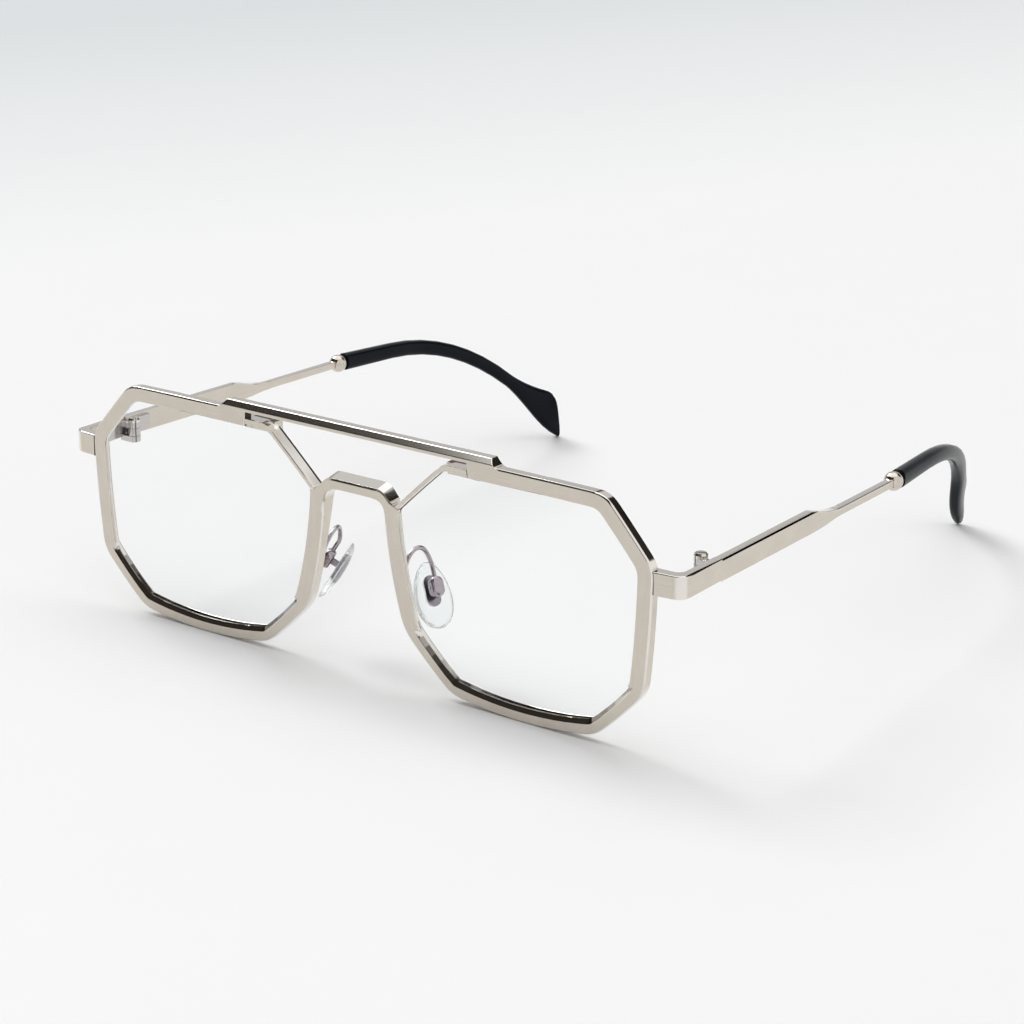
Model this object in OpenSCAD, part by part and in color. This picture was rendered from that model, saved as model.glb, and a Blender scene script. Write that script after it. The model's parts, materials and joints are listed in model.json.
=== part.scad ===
// Octagonal double-bridge metal eyeglasses, open, standing on both rims and both temple tips.
// +X is the wearer's left, -Y is the front and +Z is up. The ground is z = 0, and x = 0 is the
// plane of symmetry. The front faces of the rims lie in y = 0. Sub-parts are drawn once for the
// wearer's left side and mirrored for the right.

/* [Lens opening] */
// Width of the lens opening, from the nasal side to the temporal side
lens_w = 54.3; // [50:0.5:58]
// Height of the lens opening above its bottom corners
lens_h = 41.5; // [38:0.5:45]
// Distance between the two lens openings at their nearest
bridge_gap = 21.4; // [18:0.2:24]
// Height of the bottom corners of the lens opening above the ground
sill_z = 4.5; // [4.2:0.1:5.5]
// Width that the top nasal corner cuts off the lens opening
nasal_top_cut_w = 10.4; // [8:0.5:12]
// Height that the top nasal corner cuts off the lens opening
nasal_top_cut_h = 9.7; // [8:0.5:12]
// Width that the top temporal corner cuts off the lens opening
temple_top_cut_w = 8.8; // [7:0.2:10]
// Height that the top temporal corner cuts off the lens opening
temple_top_cut_h = 10; // [8:0.5:12]
// Width that the bottom nasal corner cuts off the lens opening
nasal_low_cut_w = 13.4; // [11:0.2:15]
// Height that the bottom nasal corner cuts off the lens opening
nasal_low_cut_h = 8.5; // [7:0.5:10]
// Width that the bottom temporal corner cuts off the lens opening
temple_low_cut_w = 10.3; // [9:0.1:12]
// Height that the bottom temporal corner cuts off the lens opening
temple_low_cut_h = 9; // [8:0.5:11]
// Slope of the nasal side, as the distance that its lower end stands outboard of its upper end
nasal_lean = 4.5; // [3:0.1:6]
// Slope of the temporal side, as the distance that its lower end stands inboard of its upper end
temple_lean = 1.4; // [0:0.1:3]
// How far the bottom edge bows outward
bottom_bow = 1.5; // [0.8:0.1:2]
// How far the nasal side bows outward
nasal_bow = 0.7; // [0:0.1:1]
// How far the temporal side bows outward
temple_bow = 0.3; // [0:0.1:0.6]

/* [Front] */
// Depth of the front from its front face to its back face
front_depth = 2.1; // [1.9:0.1:2.4]
// Width of the band above the lens
top_band = 3; // [2.8:0.05:3.3]
// Width of the band along the upper temporal diagonal
diagonal_band = 3.2; // [2.8:0.1:3.6]
// Width of the band along the temporal side
side_band = 3.2; // [2.8:0.1:3.6]
// Width of the band along the bottom and the lower diagonals
low_band = 3; // [2.6:0.1:3.4]
// Width of the band along the nasal side
nasal_band = 3.6; // [3.2:0.1:3.8]
// Width of the slanted facet along the lower inner edge of each rim
facet_w = 1; // [0.6:0.1:1.3]
// Width of the small polished chamfer around the front's outer edges
edge_chamfer = 0.3; // [0.1:0.05:0.35]

/* [Bridges] */
// Distance of the notch in the upper band outboard of the lens opening's top nasal corner
notch_run = 5.9; // [5:0.1:7]
// Height of the brow bar's top above the top of the rims
bar_rise = 1.6; // [1.4:0.1:2]
// Height of the brow bar from its lower edge to its top
bar_h = 1.65; // [1.5:0.05:1.9]
// Length over which the brow bar lies on each rim, from the notch to its end
bar_lap = 6.8; // [5:0.1:9]
// Depth of the brow bar from front to back
bar_depth = 2.8; // [2.4:0.1:3.2]
// Width and depth of the brow bar's front chamfer
bar_chamfer = 1; // [0.7:0.05:1.2]
// Height of the lower bridge's top above the top corner of the nasal side
bridge_rise = 3.2; // [2.8:0.1:4]
// Height of the lower bridge's band
bridge_h = 2.1; // [1.6:0.1:2.4]
// Half the length of the lower bridge's flat top
bridge_half = 5.5; // [5:0.1:6]
// Depth of the lower bridge from front to back
bridge_depth = 3.2; // [2.8:0.1:3.6]
// How far the lower bridge's top rises from its front edge to its back edge
bridge_lift = 0.7; // [0:0.1:1.2]

/* [Eyewire and lens] */
// Thickness of the eyewire across its width
wire_t = 1.1; // [0.95:0.05:1.2]
// Distance that the eyewire stands back from the opening at the sides
wire_set = 0.8; // [0.6:0.05:0.9]
// Distance of the eyewire's front behind the front face, where the band covers it
wire_y = 0.75; // [0.7:0.05:0.8]
// Distance of the bare eyewire's back behind the front face
bare_back = 2.6; // [2.4:0.1:2.8]
// Depth of the groove that holds the lens
groove = 0.5; // [0.3:0.05:0.6]
// Thickness of the lens
lens_t = 0.9; // [0.8:0.05:0.92]
// Clearance between the lens and its groove
lens_play = 0.05; // [0.02:0.01:0.08]
// Gap between the two ends of the split eyewire
split_gap = 0.1; // [0.06:0.02:0.2]

/* [Closing block and screws] */
// Distance of the closing screw inboard of the notch
closing_in = 4.4; // [3.4:0.1:4.8]
// Radius of the closing screw's shank
closing_r = 0.45; // [0.35:0.05:0.5]
// Radius of the closing screw's head
closing_head_r = 0.72; // [0.65:0.01:0.78]
// Radius of the hinge screw's shank
pin_r = 0.6; // [0.5:0.05:0.7]
// Radius of the hinge screw's head
pin_head_r = 1.35; // [1.2:0.05:1.4]
// Height of the hinge screw's head
pin_head_h = 0.9; // [0.7:0.05:1]
// Running clearance around the hinge screw and the pad screw
play = 0.03; // [0.02:0.01:0.06]

/* [End piece and hinge] */
// Distance from the lens opening to the outer face of the temple
end_reach = 9.3; // [7.5:0.1:11]
// Height of the end piece
end_h = 4.5; // [4:0.1:5]
// Height of the end piece's middle above the ground
end_z = 34.2; // [33:0.1:35]
// Thickness of the end piece and of the temple blade
blade_t = 1.8; // [1.5:0.1:2]
// Distance of the joint with the temple behind the front face
joint_y = 13.8; // [13:0.1:15]
// Distance of the hinge screw's axis behind the front face
pin_y = 13.7; // [13.4:0.1:14]
// Distance of the hinge screw's axis inboard of the temple's inner face
pin_in = 2.7; // [2.2:0.1:3]
// Radius of the hinge barrels
barrel_r = 1.3; // [1.2:0.05:1.4]
// Gap between one hinge barrel and the next
barrel_gap = 0.08; // [0.05:0.01:0.15]

/* [Temple] */
// Height of the temple blade
blade_h = 4.35; // [4:0.05:4.6]
// Length of the temple blade
blade_l = 34.5; // [30:0.5:38]
// Length over which the blade narrows to the bar
taper_l = 10.5; // [8:0.5:12]
// Height and thickness of the narrow bar
bar_t = 1.6; // [1.4:0.1:1.8]
// Distance of the ferrule's middle behind the front face
ferrule_y = 83.6; // [80:0.2:88]
// Radius of the ball-shaped ferrule
ferrule_r = 2; // [1.9:0.05:2.2]
// Angle by which the temple falls toward its tip
fall = 1.6; // [0.8:0.1:1.8]
// Angle by which the temple runs inward toward its tip
toe_in = 1.4; // [1:0.1:2]
// Width of the polished chamfer along the blade's upper outer edge
blade_chamfer = 0.45; // [0.3:0.05:0.6]

/* [Temple tip] */
// Distance of the tip's bend behind the front face
bend_y = 121; // [118:0.5:123]
// Distance that the tip runs inward after the bend
tip_in = 12.4; // [11:0.1:14]
// Distance that the tip runs back after the bend
tip_back = 25.7; // [24:0.1:28]
// Height of the tip's section at the ferrule
tip_h = 3.8; // [3.6:0.1:4.2]
// Width of the tip's section at the ferrule
tip_w = 3.2; // [3:0.1:3.6]
// Height of the tip's end face
paddle_h = 11; // [9:0.1:13]
// Radius of the temple's core wire inside the tip
core_r = 0.6; // [0.5:0.05:0.7]

/* [Nose pads] */
// Distance of the pad box outboard of the lens opening's nasal side
box_out = 2.6; // [2.2:0.1:2.9]
// Distance of the pad box behind the front face
box_y = 8.4; // [8:0.1:9]
// Height of the pad box above the ground
box_z = 18.8; // [18:0.1:20]
// Radius of the pad box
box_r = 1.35; // [1.2:0.05:1.45]
// Length of the pad box
box_l = 4.1; // [3.6:0.1:4.4]
// Radius of the pad arm's wire
arm_r = 0.45; // [0.4:0.05:0.5]
// Length of the nose pad
pad_l = 13.4; // [12:0.2:14.6]
// Width of the nose pad
pad_w = 7.9; // [7:0.1:8.4]
// Thickness of the nose pad
pad_t = 1.9; // [1.7:0.1:2.2]
// Radius of the pad screw
pad_screw_r = 0.4; // [0.35:0.01:0.45]

/* [Hidden] */
$fn = 96;
eps = 0.01;

// Colours
brushed = [0.76, 0.73, 0.69];
polished = [0.86, 0.84, 0.81];
steel = [0.7, 0.7, 0.72];
clear = [0.85, 0.9, 0.92, 0.35];
insert_tint = [0.62, 0.57, 0.64];
black = [0.08, 0.08, 0.1];

// Corners of the lens opening, clockwise from the top nasal corner, as [x, z]
nasal_x = bridge_gap / 2;
temple_x = nasal_x + lens_w;
lens_top = sill_z + lens_h;
opening_corners = [
  [nasal_x + nasal_top_cut_w, lens_top],
  [temple_x - temple_top_cut_w, lens_top],
  [temple_x, lens_top - temple_top_cut_h],
  [temple_x - temple_lean, sill_z + temple_low_cut_h],
  [temple_x - temple_low_cut_w, sill_z],
  [nasal_x + nasal_low_cut_w, sill_z],
  [nasal_x + nasal_lean, sill_z + nasal_low_cut_h],
  [nasal_x, lens_top - nasal_top_cut_h]
];
bows = [0.15, 0.1, temple_bow, 0.3, bottom_bow, 0.25, nasal_bow, 0.1];
edge_steps = [3, 3, 6, 5, 12, 5, 8, 3];
bands = [
  top_band, diagonal_band, side_band, low_band,
  low_band, low_band, nasal_band, wire_t
];

// Directions and offsets in the plane
function along(a, b) = (b - a) / norm(b - a);
function left_of(d) = [-d[1], d[0]];
function corner(p, i) = p[(i + len(p)) % len(p)];
function edge_normal(p, i) = left_of(along(corner(p, i), corner(p, i + 1)));
function cross_point(n0, w0, n1, w1) =
  [w0 * n1[1] - w1 * n0[1], w1 * n0[0] - w0 * n1[0]] / (n0[0] * n1[1] - n0[1] * n1[0]);

// Moves each edge of a polygon outward by its own width
function widen(p, w) = [
  for (i = [0 : len(p) - 1])
    p[i] + cross_point(edge_normal(p, i - 1), corner(w, i - 1), edge_normal(p, i), w[i])
];

// Moves a closed outline outward by one distance
function grow(p, d) = [
  for (i = [0 : len(p) - 1])
    let (n0 = edge_normal(p, i - 1), n1 = edge_normal(p, i))
      p[i] + d * (n0 + n1) / (1 + n0 * n1)
];

// A bowed edge, and a closed outline of bowed edges with rounded corners
function edge_point(p, i, u) =
  corner(p, i) * (1 - u) + corner(p, i + 1) * u + edge_normal(p, i) * corner(bows, i) * 4 * u * (1 - u);
function setback(p, i, r) = corner(r, i) / norm(corner(p, i + 1) - corner(p, i));
function setback_before(p, i, r) = corner(r, i) / norm(corner(p, i) - corner(p, i - 1));
function bezier(a, b, c, t) = a * (1 - t) * (1 - t) + b * 2 * t * (1 - t) + c * t * t;
function rounded(p, r) = [
  for (i = [0 : len(p) - 1])
    let (
      u0 = setback(p, i, r),
      u1 = 1 - setback_before(p, i + 1, r),
      n = edge_steps[i],
      first = edge_point(p, i, u1),
      last = edge_point(p, i + 1, setback(p, i + 1, r))
    )
      each concat(
        [for (k = [0 : n]) edge_point(p, i, u0 + (u1 - u0) * k / n)],
        [for (t = [0.25 : 0.25 : 0.75]) bezier(first, corner(p, i + 1), last, t)]
      )
];

inner_r = [1.6, 1.5, 1.4, 1, 0.4, 0.4, 1.4, 0.8];
outer_r = [2.4, 2.4, 2.2, 2.2, 2.2, 2.2, 2.4, 0.8];
opening = rounded(opening_corners, inner_r);
rim_corners = widen(opening_corners, bands);
rim_outline = rounded(rim_corners, outer_r);
facet_outline = grow(opening, facet_w);
rim_top = lens_top + top_band;

// The eyewire's inner edge stands back from the opening by its own distance at each side
wire_sets = [
  0.4, wire_set, wire_set, 0.4,
  0.05, 0.4, wire_set, 0.1
];
wire_inner = rounded(widen(opening_corners, wire_sets), inner_r);
wire_outer = grow(wire_inner, wire_t);
wire_back = front_depth;
bare_proud = 0.03;
groove_mid = (wire_y + wire_back) / 2;
groove_half = lens_t / 2 + lens_play;

// Bridges
notch_x = opening_corners[0][0] + notch_run;
bar_half = notch_x + bar_lap;
bar_top = rim_top + bar_rise;
bar_bottom = bar_top - bar_h;
bar_foot = rim_top - 0.5;
bridge_top = lens_top - nasal_top_cut_h + bridge_rise;
bridge_low = bridge_top - bridge_h;
valley = [nasal_x - 1.5, bridge_top - 2.4];
bare_start = opening_corners[7] + [0.9, -0.4];
nose_foot = edge_point(rim_corners, 6, 0.84) + [0.01, 0];
nose_rise = along(edge_point(rim_corners, 6, 0.78), nose_foot);
nose_reach = bridge_low - nose_foot[1];
nose_corner = nose_foot + nose_rise * nose_reach;
taper_z = 16;
chamfer_steps = 3;
crown_depth = 1;

// Closing block
closing_x = notch_x - closing_in;
closing_y = 3.7;
head_seat = 0.6;
closing_head_h = 0.4;
slot_half = 0.11;
lug_half = 0.85;
lug_end = 1.6;
lug_top = lens_top + wire_sets[0] + wire_t;
lug_mid = lug_top - 1.3;
lug_bottom = lug_mid - 1.1;

// End piece and hinge
half_w = temple_x + end_reach;
inner_x = half_w - blade_t;
end_back = 2.7;
corner_run = 2.2;
seam = 0.12;
seam_depth = 0.45;
pin_x = inner_x - pin_in;
end_bottom = end_z - end_h / 2;
end_top = end_z + end_h / 2;
hinge_z = end_z - 0.7;
hinge_half = 2.1;
barrel_top = hinge_z + hinge_half;
barrel_bottom = hinge_z - hinge_half;
mid_barrel_h = 1.6;
mid_bottom = hinge_z - mid_barrel_h / 2;
mid_top = hinge_z + mid_barrel_h / 2;
knuckle_spans = [[barrel_bottom, mid_bottom - barrel_gap], [mid_top + barrel_gap, barrel_top]];
leaf_t = 0.8;
front_leaf_y = 6.5;
temple_leaf_l = 6.5;
temple_leaf_h = 3.2;

// Temple, drawn along +Y from the joint and then turned by its fall and toe-in
blade_z = end_z - 0.3;
temple_start = joint_y + 0.1;
bar_drop = 0.7;
ferrule_half = 1.75;
bar_end = ferrule_y - temple_start;
ferrule_at = [0, bar_end, -bar_drop];

// Tip path in the frame's own axes
function temple_point(p) =
  let (
    f = [p[0], p[1] * cos(fall) + p[2] * sin(fall), p[2] * cos(fall) - p[1] * sin(fall)],
    t = [f[0] * cos(toe_in) - f[1] * sin(toe_in), f[0] * sin(toe_in) + f[1] * cos(toe_in), f[2]]
  )
    t + [half_w, temple_start, blade_z];
tip_start = temple_point([-blade_t / 2, bar_end + ferrule_half, -bar_drop]);
tip_rest = 0.044;
tip_over = 1.474;
tip_bend = tip_start + [-4.2, bend_y - tip_start[1], -1.5];
tip_end = [tip_bend[0] - tip_in, tip_bend[1] + tip_back, paddle_h / 2 + tip_rest];
bend_reach = 20.5;
bend_from = tip_bend + bend_reach * along(tip_bend, tip_start);
bend_to = tip_bend + bend_reach * along(tip_bend, tip_end);

// The tip's middle line, with t from 0 to 3: straight, bend, straight
function tip_line(t) =
  t < 1 ? tip_start + (bend_from - tip_start) * t
  : t < 2 ? bezier(bend_from, tip_bend, bend_to, t - 1)
  : bend_to + (tip_end - bend_to) * (t - 2);

half_depth = (tip_end[1] + tip_over) / 2;

// Nose pad: the box holds the pad, whose long axis, face and width have these directions
pad_down = along([0, 0, 0], [0.454, -0.267, -0.85]);
pad_wide = along([0, 0, 0], cross(pad_down, [-0.8, 0.39, -0.458]));
pad_face = cross(pad_wide, pad_down);
box_at = [nasal_x + box_out, box_y, box_z];
insert_t = 0.7;
box_half = 0.95;
box_mid = 0.3;
post_t = 1.1;
post_w = 0.9;
pad_stand = 2;
pad_shift = 1.2;

// Turns a flat drawing of (x, z) into a slab from y0 to y1
module front_slab(y0, y1) {
  translate([0, y1, 0])
    rotate([90, 0, 0])
      linear_extrude(y1 - y0)
        children();
}

// Turns a flat drawing of (y, z) into a slab from x0 to x1
module side_slab(x0, x1) {
  translate([x0, 0, 0])
    rotate([90, 0, 90])
      linear_extrude(x1 - x0)
        children();
}

module both_sides() {
  children();
  mirror([1, 0, 0])
    children();
}

// A closed surface through a list of rings that all have the same number of points
module skin(rings) {
  n = len(rings[0]);
  m = len(rings);
  walls = [
    for (j = [0 : m - 2])
      for (k = [0 : n - 1])
        let (a = j * n + k, b = j * n + (k + 1) % n)
          each [[a, b, b + n], [a, b + n, a + n]]
  ];
  polyhedron(
    points = [for (r = rings) each r],
    faces = concat(
      [[for (k = [n - 1 : -1 : 0]) k]],
      walls,
      [[for (k = [0 : n - 1]) (m - 1) * n + k]]
    )
  );
}

// A ring around point p, across its side and height directions. Its shape goes from a circle
// at power 1 to a rounded square at lower powers.
function signed_power(v, e) = sign(v) * pow(abs(v), e);
function ring(p, side, high, w, h, e, n) = [
  for (k = [0 : n - 1])
    let (a = 360 * k / n)
      p + side * w / 2 * signed_power(cos(a), e) + high * h / 2 * signed_power(sin(a), e)
];

// Front frame
// The region where the eyewire is bare, from the top of the nasal side to the notch
module bare_region(margin) {
  cut = along(bare_start, valley);
  polygon([
    bare_start - 2 * cut + [margin, margin],
    valley + [margin, margin],
    [valley[0] + margin, bar_top + 2],
    [notch_x - margin, bar_top + 2],
    [notch_x - margin, lens_top - 4]
  ]);
}

// The V-shaped nick at the foot of the bridge, where the bare eyewire leaves the band
module foot_nick() {
  polygon([
    valley + [0.1, 0.6],
    valley + [0.6, 0.6],
    valley + [0.42, -0.7]
  ]);
}

// The upper edge of the lower bridge, from the end of its flat top down into the valley
function bridge_edge(inset) =
  let (
    flat_end = [bridge_half, bridge_top - inset],
    shoulder = valley + [-0.9, 0.75 - inset]
  )
    concat(
      [flat_end],
      [for (t = [0.2 : 0.2 : 1]) bezier(flat_end, flat_end + [1.5, 0], shoulder, t)],
      [for (t = [0.25 : 0.25 : 1]) bezier(shoulder, valley - [0.2, inset - 0.1], valley + [0.6, -inset], t)]
    );

// Half of the lower bridge, from the plane of symmetry into the top of the nasal band. Its
// free edges stand in from the full outline by the inset.
module bridge_half_outline(inset) {
  low = bridge_low + inset;
  foot = nose_foot + [inset, 0];
  side = nose_corner + [inset, inset];
  polygon(concat(
    [[-1, bridge_top - inset]],
    bridge_edge(inset),
    [[nasal_x + 0.4, valley[1] - 0.4], [nasal_x + 0.4, nose_foot[1]], foot],
    [for (t = [0 : 0.2 : 1]) bezier(side - 2.6 * nose_rise, side, side - [2.8, 0], t)],
    [[-1, low]]
  ));
}

// The front seen square on, without its openings
module front_outline(inset) {
  difference() {
    both_sides() {
      polygon(grow(rim_outline, -inset));
      bridge_half_outline(inset);
    }
    both_sides() {
      bare_region(0);
      foot_nick();
    }
  }
}

// The bridge is deeper than the rims, and its depth runs out down the nose sides
module deep_bridge() {
  intersection() {
    side_slab(-valley[0] + 0.3, valley[0] - 0.3)
      polygon([
        [front_depth - 1, taper_z],
        [bridge_depth, bridge_low - 0.8],
        [bridge_depth, bridge_top + 1],
        [front_depth - 1, bridge_top + 1]
      ]);
    front_slab(front_depth - 1.2, bridge_depth + 1)
      front_outline(0);
  }
}

// The top of the bridge rises toward its back edge, and levels out at the valleys
module bridge_crown() {
  half = [for (p = bridge_edge(0)) if (p[0] < valley[0] - 0.3) p];
  edge = concat([for (k = [len(half) - 1 : -1 : 0]) [-half[k][0], half[k][1]]], half);
  front_y = edge_chamfer + 0.05;
  skin([
    for (p = edge)
      let (lift = bridge_lift * (p[1] - valley[1]) / (bridge_top - valley[1]))
        [
          [p[0], front_y, p[1] - crown_depth],
          [p[0], front_y, p[1] - eps],
          [p[0], bridge_depth - eps, p[1] + lift],
          [p[0], bridge_depth - eps, p[1] - crown_depth]
        ]
  ]);
}

// The slanted facet along the lower inner edge, cut blunt at its upper ends
module lower_facet() {
  intersection() {
    hull() {
      front_slab(-0.2, 0)
        polygon(facet_outline);
      front_slab(wire_y - eps, wire_y + 0.1)
        polygon(opening);
    }
    front_slab(-1, wire_y + 1)
      polygon([
        opening_corners[6] + [-4, -0.4],
        opening_corners[3] + [4, -0.4],
        opening_corners[3] + [4, -20],
        opening_corners[6] + [-4, -20]
      ]);
  }
}

// The polished chamfer is a thin frustum over each rim, and fine steps along the bridge
module front_layer() {
  both_sides()
    difference() {
      hull() {
        front_slab(0, eps)
          polygon(grow(rim_outline, -edge_chamfer));
        front_slab(edge_chamfer - eps, edge_chamfer)
          polygon(rim_outline);
      }
      front_slab(-1, 1)
        bare_region(0);
    }
  for (k = [0 : chamfer_steps - 1])
    front_slab(k * edge_chamfer / chamfer_steps, (k + 1) * edge_chamfer / chamfer_steps)
      difference() {
        both_sides()
          bridge_half_outline((1 - k / chamfer_steps) * edge_chamfer);
        both_sides() {
          bare_region(0);
          foot_nick();
        }
      }
}

// The brow bar, which reaches down over the band between each notch and its own end
module brow_bar() {
  end_run = bar_top - rim_top + 0.1;
  intersection() {
    side_slab(-bar_half - 1, bar_half + 1)
      polygon([
        [0, bar_foot],
        [0, bar_top - bar_chamfer],
        [bar_chamfer, bar_top],
        [bar_depth, bar_top],
        [bar_depth, bar_foot]
      ]);
    front_slab(-1, bar_depth + 1)
      both_sides()
        polygon(concat(
          [[-1, bar_bottom], [notch_x, bar_bottom], [notch_x, bar_foot], [bar_half - 0.6, bar_foot]],
          [
            for (t = [0 : 0.25 : 1])
              bezier(
                [bar_half + 0.4, rim_top - 0.1], [bar_half - 0.5, rim_top - 0.1], [bar_half - end_run, bar_top], t
              )
          ],
          [[-1, bar_top]]
        ));
  }
}

module front_frame_shape() {
  color(brushed)
    union() {
      difference() {
        union() {
          front_layer();
          front_slab(edge_chamfer - eps / 2, front_depth)
            front_outline(0);
          deep_bridge();
          bridge_crown();
        }
        both_sides() {
          front_slab(-1, wire_y + eps)
            polygon(opening);
          front_slab(wire_y, bridge_depth + 1)
            polygon(wire_outer);
          lower_facet();
        }
      }
      brow_bar();
    }
}

// Eyewire, with the groove for the lens and the two lugs of the closing block
module groove_cut() {
  hull() {
    front_slab(groove_mid - groove_half, groove_mid - groove_half + eps)
      polygon(wire_inner);
    front_slab(groove_mid - eps / 2, groove_mid + eps / 2)
      polygon(grow(wire_inner, groove));
    front_slab(groove_mid + groove_half - eps, groove_mid + groove_half)
      polygon(wire_inner);
  }
}

module closing_lugs() {
  x0 = closing_x - lug_end;
  depth = closing_y + lug_half - wire_back;
  translate([x0, wire_back - 0.1, lug_mid + split_gap / 2])
    cube([notch_x - split_gap / 2 - x0, depth + 0.1, lug_top - lug_mid - split_gap / 2]);
  translate([x0, wire_back + 0.1, lug_bottom])
    cube([notch_x + lug_end - x0, depth - 0.1, lug_mid - split_gap / 2 - lug_bottom]);
  translate([notch_x + split_gap / 2, wire_back - 0.1, lug_bottom])
    cube([lug_end - split_gap / 2, depth + 0.1, lug_top - lug_bottom]);
}

module closing_axis() {
  translate([closing_x, closing_y, 0])
    children();
}

module eyewire_shape() {
  color(polished)
    difference() {
      union() {
        difference() {
          union() {
            front_slab(wire_y, wire_back)
              polygon(wire_outer);
            front_slab(0, bare_back)
              intersection() {
                polygon(grow(wire_outer, bare_proud));
                bare_region(split_gap / 2);
              }
          }
          front_slab(-1, bare_back + 1)
            polygon(wire_inner);
          groove_cut();
          translate([notch_x - split_gap / 2, -1, lens_top - 2])
            cube([split_gap, bare_back + 2, 5]);
        }
        closing_lugs();
      }
      closing_axis()
        translate([0, 0, lug_bottom - 1])
          cylinder(r = closing_r + play, h = 5);
      closing_axis()
        translate([0, 0, lug_top - head_seat])
          cylinder(r = closing_head_r + 0.08, h = 1);
    }
}

module closing_screw_shape() {
  color(steel)
    closing_axis()
      difference() {
        union() {
          translate([0, 0, lug_bottom + 0.1])
            cylinder(r = closing_r, h = lug_top - head_seat - lug_bottom);
          translate([0, 0, lug_top - head_seat])
            cylinder(r = closing_head_r, h = closing_head_h);
        }
        translate([-1, -slot_half, lug_top - head_seat + closing_head_h / 2])
          cube([2, 2 * slot_half, 1]);
      }
}

// Lens
module lens_shape() {
  color(clear)
    hull() {
      front_slab(groove_mid - lens_t / 2, groove_mid - lens_t / 2 + 0.1)
        polygon(grow(wire_inner, -lens_play));
      front_slab(groove_mid - eps / 2, groove_mid + eps / 2)
        polygon(grow(wire_inner, groove - 2 * lens_play));
      front_slab(groove_mid + lens_t / 2 - 0.1, groove_mid + lens_t / 2)
        polygon(grow(wire_inner, -lens_play));
    }
}

// End piece, seen from above: across the rim, round the corner and back to the joint
module end_plan() {
  front_x = opening_corners[2][0] + side_band - 1.6;
  polygon(concat(
    [[front_x, 0], [half_w - corner_run, 0.55]],
    [for (t = [0.2 : 0.2 : 1]) bezier([half_w - corner_run, 0.55], [half_w, 0.85], [half_w, 3.2], t)],
    [[half_w, joint_y], [inner_x, joint_y]],
    [
      for (t = [0 : 0.25 : 1])
        bezier([inner_x, end_back + 1.7], [inner_x, end_back], [inner_x - 1.8, end_back], t)
    ],
    [[front_x, end_back]]
  ));
}

module end_piece_shape() {
  color(brushed)
    difference() {
      intersection() {
        translate([0, 0, end_bottom])
          linear_extrude(end_h)
            end_plan();
        side_slab(0, half_w + 1)
          polygon([
            [-1, end_bottom],
            [-1, end_top - edge_chamfer],
            [edge_chamfer, end_top],
            [joint_y + 1, end_top - 0.3],
            [joint_y + 1, end_bottom - 0.3],
            [2, end_bottom]
          ]);
      }
      front_slab(-1, front_depth)
        polygon(rim_outline);
      front_slab(-1, seam_depth)
        polygon(grow(rim_outline, seam));
      translate([half_w, 0, end_top - 0.1])
        rotate([0, 45, 0])
          cube([blade_chamfer, 4 * joint_y, blade_chamfer], center = true);
    }
}

// Hinge
module pin_axis() {
  translate([pin_x, pin_y, 0])
    children();
}

module barrel(z0, z1) {
  pin_axis()
    translate([0, 0, z0])
      cylinder(r = barrel_r, h = z1 - z0);
}

module front_hinge_shape() {
  color(steel)
    difference() {
      union() {
        for (z = knuckle_spans) {
          barrel(z[0], z[1]);
          translate([pin_x, pin_y - barrel_r, z[0]])
            cube([inner_x - pin_x, barrel_r - 0.1, z[1] - z[0]]);
        }
        translate([inner_x - leaf_t, front_leaf_y, end_bottom + 0.3])
          cube([leaf_t, pin_y - 0.1 - front_leaf_y, barrel_top - end_bottom - 0.3]);
      }
      pin_axis()
        translate([0, 0, barrel_bottom - 1])
          cylinder(r = pin_r + play, h = end_h + 2);
    }
}

module hinge_screw_shape() {
  color(steel)
    pin_axis()
      difference() {
        union() {
          translate([0, 0, barrel_bottom])
            cylinder(r = pin_r, h = barrel_top - barrel_bottom);
          translate([0, 0, barrel_top])
            cylinder(r = pin_head_r, h = pin_head_h * 0.6);
          translate([0, 0, barrel_top + pin_head_h * 0.6])
            cylinder(r1 = pin_head_r, r2 = pin_head_r - 0.3, h = pin_head_h * 0.4, $fn = 40);
        }
        rotate([0, 0, 25])
          translate([-2, -0.17, barrel_top + pin_head_h - 0.35])
            cube([4, 0.34, 1]);
      }
}

module temple_hinge_shape() {
  color(steel)
    difference() {
      union() {
        barrel(mid_bottom, mid_top);
        translate([pin_x, pin_y + 0.2, mid_bottom])
          cube([inner_x - 0.3 - pin_x, barrel_r - 0.2, mid_barrel_h]);
        temple_place()
          translate([-blade_t - leaf_t, 0.15, -temple_leaf_h / 2])
            cube([leaf_t, temple_leaf_l, temple_leaf_h]);
      }
      pin_axis()
        translate([0, 0, mid_bottom - 1])
          cylinder(r = pin_r + play, h = mid_barrel_h + 2);
    }
}

// Temple, blade, narrow bar and core wire in one piece
module temple_place() {
  translate([half_w, temple_start, blade_z])
    rotate([-fall, 0, toe_in])
      children();
}

module temple_side_outline() {
  foot = blade_l + taper_l;
  low = -bar_drop - bar_t / 2;
  high = -bar_drop + bar_t / 2;
  polygon(concat(
    [[0, -blade_h / 2], [0, blade_h / 2], [blade_l - 1, blade_h / 2]],
    [
      for (t = [0.2 : 0.2 : 1])
        bezier([blade_l - 1, blade_h / 2], [blade_l + 1, blade_h / 2], [blade_l + taper_l / 2, high + 0.75], t)
    ],
    [
      for (t = [0.25 : 0.25 : 1])
        bezier([blade_l + taper_l / 2, high + 0.75], [foot - 1.2, high], [foot + 1, high], t)
    ],
    [[bar_end + ferrule_half, high], [bar_end + ferrule_half, low]],
    [
      for (t = [0 : 0.25 : 1])
        bezier([foot + 1, low], [foot - 1.2, low], [blade_l + taper_l / 2, low - 0.45], t)
    ],
    [
      for (t = [0.25 : 0.25 : 1])
        bezier([blade_l + taper_l / 2, low - 0.45], [blade_l + 1.5, -blade_h / 2], [blade_l - 1, -blade_h / 2], t)
    ]
  ));
}

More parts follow.
